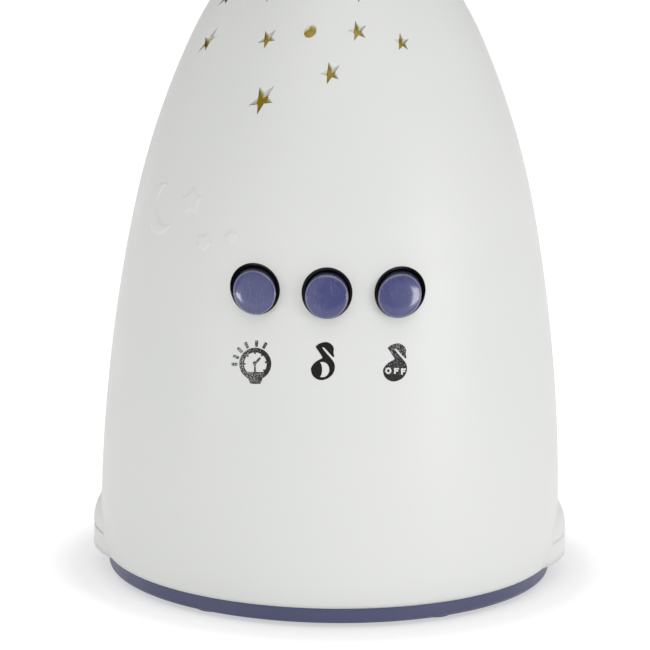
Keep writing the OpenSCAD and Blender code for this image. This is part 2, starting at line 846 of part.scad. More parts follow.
module base_plate() {
    color(toy_purple) difference() {
        union() {
            rotate_extrude() base_outline();
            cell_box_walls();
            for (p = base_screw_at) rod_z(p, floor_z - eps, base_post_z, base_post_r);
            for (p = main_post_at) rod_z(p, box_top_z - eps, main_board_z, main_post_r);
            for (p = clamp_screw_at) rod_z(p, floor_z - eps, clamp_z, clamp_post_r);
            difference() {
                rod_z(speaker_at, floor_z - eps, clamp_z, speaker_r + fit_gap + speaker_well_wall);
                rod_z(speaker_at, floor_z - 1, clamp_z + 1, speaker_r + fit_gap);
            }
        }
        translate([-bay_l / 2, bay_y - bay_w / 2, foot_h - 1])
            cube([bay_l, bay_w, bay_top_z - foot_h + 1]);
        for (p = battery_lead_at) rod_z(p, bay_top_z - 1, box_top_z + 1, lead_r + lead_hole_gap);
        door_outline_cut();
        grille_cut();
        rod_z(lug_at, foot_h - 1, lug_post_z + lug_post_h + 1, door_shank_r + free_gap);
        for (p = base_screw_at) {
            rod_z(p, foot_h - 1, base_seat_z, base_head_r + free_gap);
            rod_z(p, foot_h - 1, base_post_z + 1, base_screw_r + free_gap);
        }
        for (p = main_post_at) rod_z(p, main_board_z - 4, main_board_z + 1, small_screw_r + bore_gap);
        for (p = clamp_screw_at) rod_z(p, foot_h + 1.2, clamp_z + 1, small_screw_r + bore_gap);
        for (p = foot_at) rod_z(p, foot_h - 1, foot_h + foot_pad_sink, foot_pad_r + fit_gap);
    }
}

// Section of a tongue and its bead; the root lies half in the door
module tongue_section() {
    translate([-door_l / 2 - tongue_l, hinge_z]) square([tongue_l + tongue_root, tongue_t]);
    translate([hinge_x, hinge_z]) circle(r = bead_r);
}

module battery_door() {
    color(toy_purple) difference() {
        union() {
            translate([-door_l / 2, bay_y - door_w / 2, foot_h]) cube([door_l, door_w, door_t]);
            rod_z(lug_at, foot_h, foot_h + lug_t, lug_r);
            for (y = tongue_y) {
                translate([0, y + tongue_w / 2, 0]) rotate([90, 0, 0])
                    linear_extrude(tongue_w) tongue_section();
            }
            translate([door_l / 2 - 1, bay_y - lug_web / 2, foot_h])
                cube([lug_at[0] - door_l / 2 + 1, lug_web, door_t]);
        }
        rod_z(lug_at, foot_h - 1, foot_h + lug_t - door_seat_t, door_head_r + free_gap);
        rod_z(lug_at, foot_h - 1, foot_h + lug_t + 1, door_shank_r + bore_gap);
    }
}

module door_screw() {
    color(steel) screw_up(lug_at, foot_h + lug_t - door_seat_t, door_seat_t + free_gap + 3,
        door_shank_r, door_head_r, door_head_h);
}

module battery_cells() {
    for (i = [0 : cell_count - 1]) {
        way = i % 2 == 0 ? 1 : -1;
        end_x = way * (bay_l / 2 - contact_t);
        color("silver") translate([end_x, cell_y(i), cell_z]) rotate([0, -90 * way, 0]) {
            cylinder(h = cell_nub_l + eps, r = cell_nub_r);
            translate([0, 0, cell_nub_l]) cylinder(h = cell_body_l, r = cell_r);
        }
    }
}

// Thin plates on the end walls: one alone, the rest bridging two cells
module contact_plate(x, y0, y1) {
    translate([x, y0 - contact_w / 2, cell_z - contact_w / 2])
        cube([contact_t, y1 - y0 + contact_w, contact_w]);
}

module contact_plates() {
    last = cell_count - 1;
    color(steel) {
        contact_plate(-bay_l / 2, cell_y(0), cell_y(0));
        for (i = [1 : 2 : last - 1]) contact_plate(-bay_l / 2, cell_y(i), cell_y(i + 1));
        for (i = [0 : 2 : last - 1]) contact_plate(bay_l / 2 - contact_t, cell_y(i), cell_y(i + 1));
        if (cell_count % 2 == 0) {
            contact_plate(-bay_l / 2, cell_y(last), cell_y(last));
        } else {
            contact_plate(bay_l / 2 - contact_t, cell_y(last), cell_y(last));
        }
    }
}

spring_wire = 0.5;
spring_foot_r = 4.5;
spring_tip_r = 2.6;
spring_turns = 3;
spring_steps = 14;

// A tapered coil: rings of points swept along the wire, joined by quads
function coil_ring(i, n, l, r0, r1, wire) =
    let (f = i / n, a = 360 * spring_turns * f, r = r0 + (r1 - r0) * f, z = wire + (l - 2 * wire) * f)
    [for (k = [0 : 5]) let (b = 60 * k)
        [(r + wire * cos(b)) * cos(a), (r + wire * cos(b)) * sin(a), z + wire * sin(b)]];

module coil(l, r0, r1, wire) {
    n = spring_turns * spring_steps;
    points = [for (i = [0 : n]) for (p = coil_ring(i, n, l, r0, r1, wire)) p];
    sides = [for (i = [0 : n - 1]) for (k = [0 : 5])
        [6 * i + k, 6 * i + (k + 1) % 6, 6 * (i + 1) + (k + 1) % 6, 6 * (i + 1) + k]];
    polyhedron(points, concat([[5, 4, 3, 2, 1, 0]], sides, [[for (k = [0 : 5]) 6 * n + k]]), convexity = 6);
}

module contact_springs() {
    for (i = [0 : cell_count - 1]) {
        way = i % 2 == 0 ? -1 : 1;
        color(steel) translate([way * (bay_l / 2 - contact_t), cell_y(i), cell_z]) rotate([0, -90 * way, 0])
            coil(spring_l, spring_foot_r, spring_tip_r, spring_wire);
    }
}

// ---- Main board ----

module main_board() {
    color(board_green) difference() {
        translate([-main_board_l / 2, bay_y - main_board_w / 2, main_board_z])
            cube([main_board_l, main_board_w, board_t]);
        for (p = main_post_at) {
            rod_z(p, main_board_z - 1, main_board_z + board_t + 1, small_screw_r + free_gap);
        }
    }
}

blob_r = 14;
blob_h = 2;
capacitor_r = 3;
capacitor_h = 8;
socket = [5, 6, 5];
socket_x = -18;
part_pitch = 9;

module board_parts() {
    top = board_top_z;
    color(jet) {
        // Sealed chip
        translate([0, bay_y, top]) intersection() {
            translate([0, 0, blob_h - blob_r]) sphere(r = blob_r);
            cylinder(h = blob_h + 1, r = blob_r);
        }
        // Two capacitors
        for (y = [-1, 1]) rod_z([blob_r, bay_y + y * part_pitch], top, top + capacitor_h, capacitor_r);
        // Sockets for the leads
        for (y = [-1, 0, 1]) translate([socket_x, bay_y + y * part_pitch - socket[1] / 2, top]) cube(socket);
    }
}

module board_screws() {
    color(steel) for (p = main_post_at) {
        screw_down(p, board_top_z, board_t + small_bite, small_screw_r, small_head_r, small_head_h);
    }
}

// ---- Leads ----

// Point on the smooth curve through the route's points, at a share f of the way from point i to the next
function on_route(route, i, f) =
    let (a = route[max(i - 1, 0)], b = route[i], c = route[i + 1], d = route[min(i + 2, len(route) - 1)])
    b + ((c - a) * f + (2 * a - 5 * b + 4 * c - d) * pow(f, 2) + (3 * b - a - 3 * c + d) * pow(f, 3)) / 2;

function smooth_route(route) = [
    for (i = [0 : len(route) - 2]) for (k = [0 : lead_steps - 1]) on_route(route, i, k / lead_steps),
    route[len(route) - 1]
];

function unit(v) = v / norm(v);

// Ring of points round a curve's point i, square to the curve
function lead_ring(curve, i) =
    let (
        way = unit(curve[min(i + 1, len(curve) - 1)] - curve[max(i - 1, 0)]),
        u = unit(cross(way, [1, 0, 0])),
        v = cross(way, u)
    )
    [for (k = [0 : lead_sides - 1])
        let (a = 360 * k / lead_sides) curve[i] + lead_r * (cos(a) * u + sin(a) * v)];

module lead(route) {
    curve = smooth_route(route);
    n = len(curve) - 1;
    points = [for (i = [0 : n]) for (p = lead_ring(curve, i)) p];
    sides = [for (i = [0 : n - 1]) for (k = [0 : lead_sides - 1])
        let (next = (k + 1) % lead_sides)
        [lead_sides * i + k, lead_sides * (i + 1) + k, lead_sides * (i + 1) + next, lead_sides * i + next]];
    first = [for (k = [0 : lead_sides - 1]) k];
    last = [for (k = [lead_sides - 1 : -1 : 0]) lead_sides * n + k];
    color(lead_red) polyhedron(points, concat([first], sides, [last]), convexity = 6);
}

socket_top_z = board_top_z + socket[2];
socket_mid_x = socket_x + socket[0] / 2;

// From the rear socket up through the deck's hole to the lamp board
module lamp_leads() {
    at = [socket_mid_x, bay_y + part_pitch];
    lead([
        [at[0], at[1], socket_top_z], [at[0], at[1], 32], [at[0], at[1], 35], [-12, 20, 55], [-5, 8, 80],
        [0, 0, 98], [0, 0, 108], [0, 0, lamp_board_z]
    ]);
}

// From the middle socket to the back of the button board
module button_leads() {
    at = [socket_mid_x, bay_y];
    lead([
        [at[0], at[1], socket_top_z], [at[0], at[1], 32], [at[0], at[1], 35], [-12, 8, 52], [-4, -8, 70],
        [0, -18, 77], [0, -24, 77], [0, button_board_y + board_t, 77]
    ]);
}

// From the front socket to the loudspeaker's basket
module speaker_leads() {
    at = [socket_mid_x, bay_y - part_pitch];
    end = [speaker_at[0] - magnet_r - speaker_flange_t, speaker_at[1]];
    lead([
        [at[0], at[1], socket_top_z], [at[0], at[1], 31], [at[0], at[1], 33], [-14, -4, 33], [-13, -18, 26],
        [end[0], end[1], 19], [end[0], end[1], 16], [end[0], end[1], speaker_neck_z]
    ]);
}

// From the outer contact plates through the box's roof to the main board's ends
module battery_leads() {
    for (p = battery_lead_at) {
        out = sign(p[0]);
        end = main_board_l / 2;
        lead([
            [p[0], p[1], cell_z + contact_w / 2], [p[0], p[1], 19], [p[0], p[1], 24],
            [out * (end + 0.6), p[1], 28], [out * (end - 1.2), p[1], 28.6],
            [out * (end - 2), p[1], 27], [out * (end - 2), p[1], 26], [out * (end - 2), p[1], board_top_z]
        ]);
    }
}

// ---- Loudspeaker ----

speaker_neck_z = floor_z + speaker_h - magnet_h;
cone_z = floor_z + speaker_flange_t;
cone_r = speaker_r - 3;

module speaker_basket() {
    t = speaker_flange_t;
    color(steel) translate([speaker_at[0], speaker_at[1], 0]) rotate_extrude() polygon([
        [cone_r, floor_z], [speaker_r, floor_z], [speaker_r, floor_z + t], [cone_r + t, floor_z + t],
        [magnet_r + t, speaker_neck_z - t], [magnet_r + t, speaker_neck_z], [0, speaker_neck_z],
        [0, speaker_neck_z - t], [magnet_r, speaker_neck_z - t], [cone_r, floor_z + t]
    ]);
}

module speaker_magnet() {
    color(jet) rod_z(speaker_at, speaker_neck_z, speaker_neck_z + magnet_h, magnet_r);
}

module speaker_cone() {
    t = 0.5;
    throat_r = 5;
    throat_z = speaker_neck_z - speaker_flange_t - 0.4;
    color(jet) translate([speaker_at[0], speaker_at[1], 0]) {
        rotate_extrude() polygon([
            [cone_r - t, cone_z - t], [cone_r - t, cone_z], [throat_r + t, throat_z], [0, throat_z],
            [0, throat_z - t], [throat_r, throat_z - t], [cone_r - 2 * t, cone_z - t]
        ]);
    }
}

module speaker_clamp() {
    color(shell_white) difference() {
        union() {
            rod_z(speaker_at, cone_z, clamp_z + clamp_t, speaker_r);
            for (p = clamp_screw_at) {
                rod_z(p, clamp_z, clamp_z + clamp_t, clamp_post_r);
            }
            translate([clamp_screw_at[0][0], speaker_at[1] - clamp_web / 2, clamp_z])
                cube([clamp_screw_at[1][0] - clamp_screw_at[0][0], clamp_web, clamp_t]);
        }
        rod_z(speaker_at, floor_z, clamp_z + clamp_t + 1, speaker_r - clamp_ring_w);
        for (p = clamp_screw_at) rod_z(p, clamp_z - 1, clamp_z + clamp_t + 1, small_screw_r + free_gap);
    }
}

module clamp_screws() {
    color(steel) for (p = clamp_screw_at) {
        screw_down(p, clamp_z + clamp_t, clamp_t + small_bite, small_screw_r, small_head_r, small_head_h);
    }
}

// ---- Fasteners and feet ----

module base_screws() {
    color(steel) for (p = base_screw_at) {
        screw_up(p, base_seat_z, base_shank_l, base_screw_r, base_head_r, base_head_h);
    }
}

module rubber_feet() {
    color(rubber_grey) for (p = foot_at) rod_z(p, 0, foot_h + foot_pad_sink, foot_pad_r);
}

outer_shell();
star_filter_dome();
lamp_deck();
deck_screws();
lamp_board();
lamps();
button_left();
button_middle();
button_right();
switch_plunger_left();
switch_plunger_middle();
switch_plunger_right();
button_frame();
switch_housings();
button_board();
button_screws();
base_plate();
battery_door();
door_screw();
battery_cells();
contact_plates();
contact_springs();
main_board();
board_parts();
board_screws();
speaker_basket();
speaker_magnet();
speaker_cone();
speaker_clamp();
clamp_screws();
base_screws();
rubber_feet();
lamp_leads();
button_leads();
speaker_leads();
battery_leads();
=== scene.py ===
"""Looks of the star night light projector: materials, printed signs, relief, floor, lights, camera.

Drawings and sizes are in millimetres and become metres where a mesh or a material is made.
"""

import json
import math

import bmesh
import bpy
from mathutils import Euler, Matrix, Vector


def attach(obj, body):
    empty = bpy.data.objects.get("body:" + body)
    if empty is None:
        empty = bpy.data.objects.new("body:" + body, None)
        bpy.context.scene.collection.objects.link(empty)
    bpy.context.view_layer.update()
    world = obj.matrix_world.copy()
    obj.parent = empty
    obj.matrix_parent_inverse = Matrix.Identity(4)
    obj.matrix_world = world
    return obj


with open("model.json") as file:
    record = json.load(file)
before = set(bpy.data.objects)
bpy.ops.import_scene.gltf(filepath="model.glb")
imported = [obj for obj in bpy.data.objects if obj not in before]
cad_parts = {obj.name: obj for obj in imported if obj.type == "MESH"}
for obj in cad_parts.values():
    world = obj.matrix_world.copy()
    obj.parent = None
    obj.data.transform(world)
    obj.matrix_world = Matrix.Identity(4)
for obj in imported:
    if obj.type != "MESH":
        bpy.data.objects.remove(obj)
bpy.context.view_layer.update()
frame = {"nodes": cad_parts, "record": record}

MM = 0.001
HOUSING = "housing"
scene = bpy.context.scene

# ---------------------------------------------------------------------------------------------
# Camera
# ---------------------------------------------------------------------------------------------

# Place in metres, and angles in degrees: tilt up from straight down, lean to a side, turn about upright
CAMERA_AT = (0.03334, -1.16882, 0.33431)
CAMERA_ANGLES = (77.0097, -0.8769, 1.9327)
# Focal length and width of a square picture, both in pixels
FOCAL_PX = 4626.0
IMAGE_PX = 650.0


def add_camera():
    data = bpy.data.cameras.new("camera")
    data.sensor_fit = "HORIZONTAL"
    data.lens = FOCAL_PX / IMAGE_PX * data.sensor_width
    camera = bpy.data.objects.new("camera", data)
    scene.collection.objects.link(camera)
    turn = Euler([math.radians(a) for a in CAMERA_ANGLES]).to_matrix().to_4x4()
    camera.matrix_world = Matrix.Translation(CAMERA_AT) @ turn
    scene.camera = camera


# ---------------------------------------------------------------------------------------------
# Outline of the shell: the chain of tangent arcs that the part's source revolves
# ---------------------------------------------------------------------------------------------

BODY_H = 175.0
BODY_R = 59.7
BELLY_Z = 12.0
SHOULDER_R = 208.0
CROWN_R = 92.0
# The slope of the outline, from upright, where flank, shoulder and crown end
FLANK_TILT, SHOULDER_TILT, CROWN_TILT = (math.radians(a) for a in (11.0, 24.0, 45.0))


def on_arc(middle, r, tilt):
    return (middle[0] + r * math.cos(tilt), middle[1] + r * math.sin(tilt))


def outline_arcs():
    """Flank, shoulder, crown and tip, each as its middle, its radius and the slope where it ends."""
    share = (1 - math.sin(CROWN_TILT)) / math.cos(CROWN_TILT)

    def rise(t0, t1):
        return math.sin(t1) - math.sin(t0) - share * (math.cos(t0) - math.cos(t1))

    left = BODY_H - BELLY_Z - share * BODY_R
    left -= SHOULDER_R * rise(FLANK_TILT, SHOULDER_TILT) + CROWN_R * rise(SHOULDER_TILT, CROWN_TILT)
    flank_r = left / rise(0, FLANK_TILT)
    flank_c = (BODY_R - flank_r, BELLY_Z)
    shoulder_c = on_arc(flank_c, flank_r - SHOULDER_R, FLANK_TILT)
    crown_c = on_arc(shoulder_c, SHOULDER_R - CROWN_R, SHOULDER_TILT)
    tip_r = CROWN_R + crown_c[0] / math.cos(CROWN_TILT)
    tip_c = on_arc(crown_c, CROWN_R - tip_r, CROWN_TILT)
    return [
        (flank_c, flank_r, FLANK_TILT),
        (shoulder_c, SHOULDER_R, SHOULDER_TILT),
        (crown_c, CROWN_R, CROWN_TILT),
        ((0.0, tip_c[1]), tip_r, math.pi / 2),
    ]


ARCS = outline_arcs()


def skin(z):
    """Radius and slope of the shell's outside at a height above its belly."""
    middle, r = next((middle, r) for middle, r, end in ARCS if z <= on_arc(middle, r, end)[1])
    tilt = math.asin((z - middle[1]) / r)
    return middle[0] + r * math.cos(tilt), tilt


def on_skin(azimuth, z, out):
    """A point this far outside the shell, at an azimuth in radians from the front."""
    r, tilt = skin(z)
    r += out * math.cos(tilt)
    return Vector((r * math.sin(azimuth), -r * math.cos(azimuth), z + out * math.sin(tilt))) * MM


def wrap(azimuth, z, u, v, out):
    """A flat drawing's point (u, v) laid on the shell round a place on it, its azimuth in degrees."""
    tilt = skin(z)[1]
    at_z = z + v * math.cos(tilt)
    return on_skin(math.radians(azimuth) + u / skin(at_z)[0], at_z, out)


# ---------------------------------------------------------------------------------------------
# Materials: the node tree's lengths are in metres, in the object's own frame
# ---------------------------------------------------------------------------------------------

# Nearly all values of a noise lie between these two
NOISE_CORE = (0.3, 0.7)
# Sockets of a Mix node that mixes colours
MIX_FACTOR, MIX_FIRST, MIX_SECOND, MIX_RESULT = 0, 6, 7, 2


class Look:
    """A material under construction: its node tree, its shader, and short ways to add nodes.

    A source is the socket that a value comes from. The operands of math and the colours of mix may be
    constants too.
    """

    def __init__(self, name, **constants):
        self.material = bpy.data.materials.new(name)
        self.material.use_nodes = True
        self.tree = self.material.node_tree
        self.shader = self.tree.nodes["Principled BSDF"]
        self.coords = self.add("ShaderNodeTexCoord").outputs["Object"]
        for socket, value in constants.items():
            self.shader.inputs[socket.replace("_", " ")].default_value = value

    def add(self, kind, **settings):
        node = self.tree.nodes.new(kind)
        for name, value in settings.items():
            setattr(node, name, value)
        return node

    def link(self, source, target):
        self.tree.links.new(source, target)

    def feed(self, socket, source):
        self.link(source, self.shader.inputs[socket])

    def axes(self, source):
        split = self.add("ShaderNodeSeparateXYZ")
        self.link(source, split.inputs["Vector"])
        return [split.outputs[axis] for axis in "XYZ"]

    def normal_axes(self, kind):
        """How far the surface faces along X, Y and Z."""
        return self.axes(self.add("ShaderNodeNewGeometry").outputs[kind])

    def stretched(self, scale, turn=(0.0, 0.0, 0.0)):
        mapping = self.add("ShaderNodeMapping")
        mapping.inputs["Scale"].default_value = scale
        mapping.inputs["Rotation"].default_value = turn
        self.link(self.coords, mapping.inputs["Vector"])
        return mapping.outputs["Vector"]

    def noise(self, scale, detail=2.0, roughness=0.5, coords=None):
        node = self.add("ShaderNodeTexNoise")
        node.inputs["Scale"].default_value = scale
        node.inputs["Detail"].default_value = detail
        node.inputs["Roughness"].default_value = roughness
        self.link(coords or self.coords, node.inputs["Vector"])
        return node.outputs["Fac"]

    def cell_edges(self, scale, coords=None):
        """Distance to the nearest border of irregular cells."""
        node = self.add("ShaderNodeTexVoronoi", feature="DISTANCE_TO_EDGE")
        node.inputs["Scale"].default_value = scale
        self.link(coords or self.coords, node.inputs["Vector"])
        return node.outputs["Distance"]

    def ramp(self, source, stops):
        node = self.add("ShaderNodeValToRGB")
        elements = node.color_ramp.elements
        while len(elements) < len(stops):
            elements.new(0.5)
        for element, (at, colour) in zip(elements, stops):
            element.position = at
            element.color = (*colour, 1.0) if isinstance(colour, tuple) else (colour, colour, colour, 1.0)
        self.link(source, node.inputs["Fac"])
        return node.outputs["Color"]

    def mottle(self, source, first, second):
        """From one tone to another over the core of a noise."""
        return self.ramp(source, list(zip(NOISE_CORE, (first, second))))

    def span(self, source, low, high, from_low=0.0, from_high=1.0):
        """Maps from_low to low and from_high to high, and stays level beyond them."""
        node = self.add("ShaderNodeMapRange")
        sockets = ("From Min", "From Max", "To Min", "To Max")
        for socket, value in zip(sockets, (from_low, from_high, low, high)):
            node.inputs[socket].default_value = value
        self.link(source, node.inputs["Value"])
        return node.outputs["Result"]

    def mask(self, source, start, full):
        """0 at start and before it, 1 at full and beyond it."""
        return self.span(source, 0.0, 1.0, start, full)

    def mix(self, factor, first, second):
        node = self.add("ShaderNodeMix", data_type="RGBA")
        self.link(factor, node.inputs[MIX_FACTOR])
        for index, value in ((MIX_FIRST, first), (MIX_SECOND, second)):
            if isinstance(value, tuple):
                node.inputs[index].default_value = (*value, 1.0)
            else:
                self.link(value, node.inputs[index])
        return node.outputs[MIX_RESULT]

    def math(self, operation, *values):
        node = self.add("ShaderNodeMath", operation=operation)
        for socket, value in zip(node.inputs, values):
            if isinstance(value, float):
                socket.default_value = value
            else:
                self.link(value, socket)
        return node.outputs[0]

    def plus(self, a, b):
        return self.math("ADD", a, b)

    def minus(self, a, b):
        return self.math("SUBTRACT", a, b)

    def times(self, a, b):
        return self.math("MULTIPLY", a, b)

    def hypot(self, a, b):
        return self.math("SQRT", self.plus(self.times(a, a), self.times(b, b)))

    def colour(self, source):
        self.feed("Base Color", source)

    def rough(self, source, smoothest, roughest, from_low=0.0, from_high=1.0):
        self.feed("Roughness", self.span(source, smoothest, roughest, from_low, from_high))

    def bump(self, height, strength, distance, after=None):
        """Relief in the shading only, on top of the normal that comes before it."""
        node = self.add("ShaderNodeBump")
        node.inputs["Strength"].default_value = strength
        node.inputs["Distance"].default_value = distance
        self.link(height, node.inputs["Height"])
        if after is not None:
            self.link(after, node.inputs["Normal"])
        self.feed("Normal", node.outputs["Normal"])
        return node.outputs["Normal"]


# The walls of the star holes get painted shade and a painted highlight between these depths and above these
# heights
WALL_DEPTH = (0.1 * MM, 0.8 * MM)
STAR_HOLES_Z = (118.0 * MM, 121.0 * MM)
# Radius by which edges look rounded, at the pads of the foot and above them, and where it changes
PAD_SOFTNESS = 2.4 * MM
EDGE_SOFTNESS = 0.1 * MM
PAD_TOP_Z = (24.0 * MM, 32.0 * MM)


def depth_under_skin(look, x, y, z):
    """How far a point above the flank lies inside the shell's outer surface."""
    r = look.hypot(x, y)
    depth = None
    for (middle, arc_r, _), below in zip(ARCS[1:], ARCS):
        from_middle = look.hypot(look.minus(r, middle[0] * MM), look.minus(z, middle[1] * MM))
        inside = look.minus(arc_r * MM, from_middle)
        if depth is None:
            depth = inside
        else:
            here = look.math("GREATER_THAN", z, on_arc(*below)[1] * MM)
            depth = look.plus(depth, look.times(here, look.minus(inside, depth)))
    return depth


def shell_plastic():
    """Satin white plastic. The walls of the star holes carry painted light: an amber-tinted painted shade
    where they face left, a painted highlight where they face right.
    """
    look = Look("shell_plastic", IOR=1.5, Specular_IOR_Level=0.35)
    clean = look.mottle(look.noise(22.0, 3.0), (0.628, 0.638, 0.620), (0.642, 0.650, 0.632))
    specks = look.mask(look.noise(2600.0, 2.0, 0.6), 0.66, 0.8)
    white = look.mix(look.times(specks, 0.05), clean, (0.45, 0.45, 0.44))
    x, y, z = look.axes(look.coords)
    wall = look.times(look.mask(depth_under_skin(look, x, y, z), *WALL_DEPTH), look.mask(z, *STAR_HOLES_Z))
    to_right = look.normal_axes("Normal")[0]
    # Walls facing left get a painted amber-tinted shade, walls facing right a painted highlight
    painted_amber_shade, painted_wall_highlight = (0.42, 0.36, 0.11), (0.9, 0.9, 0.86)
    hole = look.mix(look.mask(to_right, 0.0, 0.25), painted_amber_shade, painted_wall_highlight)
    look.colour(look.mix(wall, white, hole))
    look.rough(look.noise(90.0, 3.0), 0.36, 0.46, *NOISE_CORE)
    soft = look.add("ShaderNodeBevel", samples=10)
    look.link(look.span(z, PAD_SOFTNESS, EDGE_SOFTNESS, *PAD_TOP_Z), soft.inputs["Radius"])
    look.bump(look.noise(3200.0, 2.0, 0.6), 0.05, 0.06 * MM, soft.outputs["Normal"])
    return look.material


def amber_plastic():
    """Translucent amber with a painted glow: its emission stands in for room light that came in through the
    other holes.
    """
    look = Look("amber_plastic", Roughness=0.22, IOR=1.49, Transmission_Weight=0.1, Emission_Strength=0.5)
    look.colour(look.mottle(look.noise(30.0), (0.22, 0.16, 0.016), (0.27, 0.20, 0.022)))
    # Painted glow: the emission stands in for room light that came in through the other holes
    look.feed("Emission Color", look.mottle(look.noise(24.0), (0.26, 0.19, 0.018), (0.33, 0.25, 0.026)))
    look.bump(look.noise(260.0), 0.15, 0.2 * MM)
    return look.material


BUTTON_PITCH = 18.0
BUTTON_Z = 84.5
# Radius of the curve to which the caps' faces are cut
CAP_FACE_R = 64.0
# How far a domed face sinks, for the fourth power of the distance from its axis
DOME_SINK = 5.5e-4
# Distances from its axis between which a cap's face turns into its painted rim highlight
CAP_RIM_HIGHLIGHT = (4.95 * MM, 5.1 * MM)
# Radius by which a cap's edge looks rounded
CAP_SOFTNESS = 1.2 * MM


def cap_dome(look):
    """Height that turns each cap's face, cut to the shell's curve, into a flat one with a sinking rim.

    Also gives how far a point lies from its cap's axis.
    """
    x, _, z = look.axes(look.coords)
    pitch = BUTTON_PITCH * MM
    nearest = look.times(look.math("ROUND", look.math("DIVIDE", x, pitch)), pitch)
    across = look.minus(x, nearest)
    off_axis = look.hypot(across, look.minus(z, BUTTON_Z * MM))
    flattened = look.times(look.times(across, across), 0.5 / (CAP_FACE_R * MM))
    sunk = look.times(look.math("POWER", off_axis, 4.0), DOME_SINK / MM ** 3)
    return look.minus(flattened, sunk), off_axis


def scratches(look, scale, width, leans):
    """Hair-thin upright marks: the middles of strongly stretched noise, leaning a little, in patches."""
    total = None
    for lean in leans:
        lines = look.noise(scale, 1.0, 0.4, look.stretched((1.0, 1.0, 0.05), (0.0, lean, 0.0)))
        off_middle = look.math("ABSOLUTE", look.minus(lines, 0.5))
        mark = look.span(off_middle, 1.0, 0.0, 0.0, width)
        total = mark if total is None else look.math("MAXIMUM", total, mark)
    return look.times(total, look.mask(look.noise(230.0, 1.0), 0.43, 0.56))


def purple_plastic():
    """Glossy caps, slightly domed, with a painted highlight round the rims, fine upright scratches, and
    painted shade on the sides in the gap.
    """
    look = Look("purple_plastic", IOR=1.5, Coat_Weight=0.8, Coat_Roughness=0.11, Coat_IOR=1.6)
    face = look.mottle(look.noise(60.0), (0.016, 0.021, 0.126), (0.022, 0.027, 0.140))
    marks = scratches(look, 1500.0, 0.012, (0.12, -0.07, 0.3))
    height, off_axis = cap_dome(look)
    to_back = look.normal_axes("True Normal")[1]
    # Painted shade on the caps' sides in the gap round them
    painted_gap_shade = look.span(to_back, 0.0, 0.8, -0.4, -0.1)
    # A painted highlight round each cap's face, near its edge
    painted_rim_highlight = look.times(look.span(off_axis, 0.0, 0.55, *CAP_RIM_HIGHLIGHT), look.mask(to_back, -0.3, -0.5))
    face_with_painted_gap_shade = look.mix(painted_gap_shade, face, (0.004, 0.004, 0.012))
    # The pale rim tone mixed in here is a painted highlight
    worn = look.mix(painted_rim_highlight, face_with_painted_gap_shade, (0.30, 0.28, 0.42))
    look.colour(look.mix(look.times(marks, 0.32), worn, (0.2, 0.2, 0.36)))
    rubbed = look.span(look.noise(320.0, 3.0), 0.28, 0.42, 0.35, 0.65)
    look.feed("Roughness", look.plus(rubbed, look.times(marks, 0.25)))
    soft = look.add("ShaderNodeBevel", samples=8)
    soft.inputs["Radius"].default_value = CAP_SOFTNESS
    domed = look.bump(height, 1.0, 1.0, soft.outputs["Normal"])
    look.feed("Coat Normal", look.bump(look.noise(700.0), 0.06, 0.08 * MM, domed))
    return look.material


def base_plastic():
    look = Look("base_plastic", IOR=1.5)
    look.colour(look.mottle(look.noise(40.0, 3.0), (0.049, 0.054, 0.122), (0.056, 0.061, 0.135)))
    look.rough(look.noise(150.0, 3.0), 0.3, 0.44, *NOISE_CORE)
    look.bump(look.noise(2600.0), 0.08, 0.06 * MM)
    return look.material


def black_plastic():
    look = Look("black_plastic", IOR=1.5)
    look.colour(look.mottle(look.noise(120.0), 0.010, 0.016))
    look.rough(look.noise(500.0), 0.38, 0.55)
    look.bump(look.noise(2400.0), 0.15, 0.06 * MM)
    return look.material


def board_laminate():
    """Green lacquer over a fine weave, with slanting traces that stand up a little."""
    look = Look("board_laminate", Coat_Weight=0.4, Coat_Roughness=0.12)
    weave = look.cell_edges(900.0)
    slanting = look.stretched((1.0, 1.0, 1.0), (0.0, 0.0, 0.785))
    traces = look.span(look.cell_edges(330.0, slanting), 1.0, 0.0, 0.05, 0.09)
    lacquer = look.mix(look.mask(weave, 0.0, 0.2), (0.012, 0.07, 0.028), (0.018, 0.10, 0.042))
    look.colour(look.mix(look.times(traces, 0.6), lacquer, (0.05, 0.22, 0.08)))
    look.rough(look.noise(300.0), 0.3, 0.45)
    look.bump(traces, 0.3, 0.04 * MM)
    return look.material


def metal(name, tint, smoothest, roughest, grain_scale):
    """Bare metal with a brushed grain and slightly duller patches."""
    look = Look(name, Metallic=1.0)
    look.colour(look.mottle(look.noise(180.0, 3.0), tint, tuple(0.86 * c for c in tint)))
    brushed = look.noise(grain_scale, coords=look.stretched((1.0, 1.0, 14.0)))
    look.rough(brushed, smoothest, roughest, *NOISE_CORE)
    look.bump(brushed, 0.1, 0.04 * MM)
    return look.material


# Along a cell, from its middle: its dark band, the end of its sleeve, and how sharply each begins
CELL_BAND = (12.5, 20.5)
CELL_SLEEVE_END = 23.8
CELL_PRINT_EDGE = 0.2


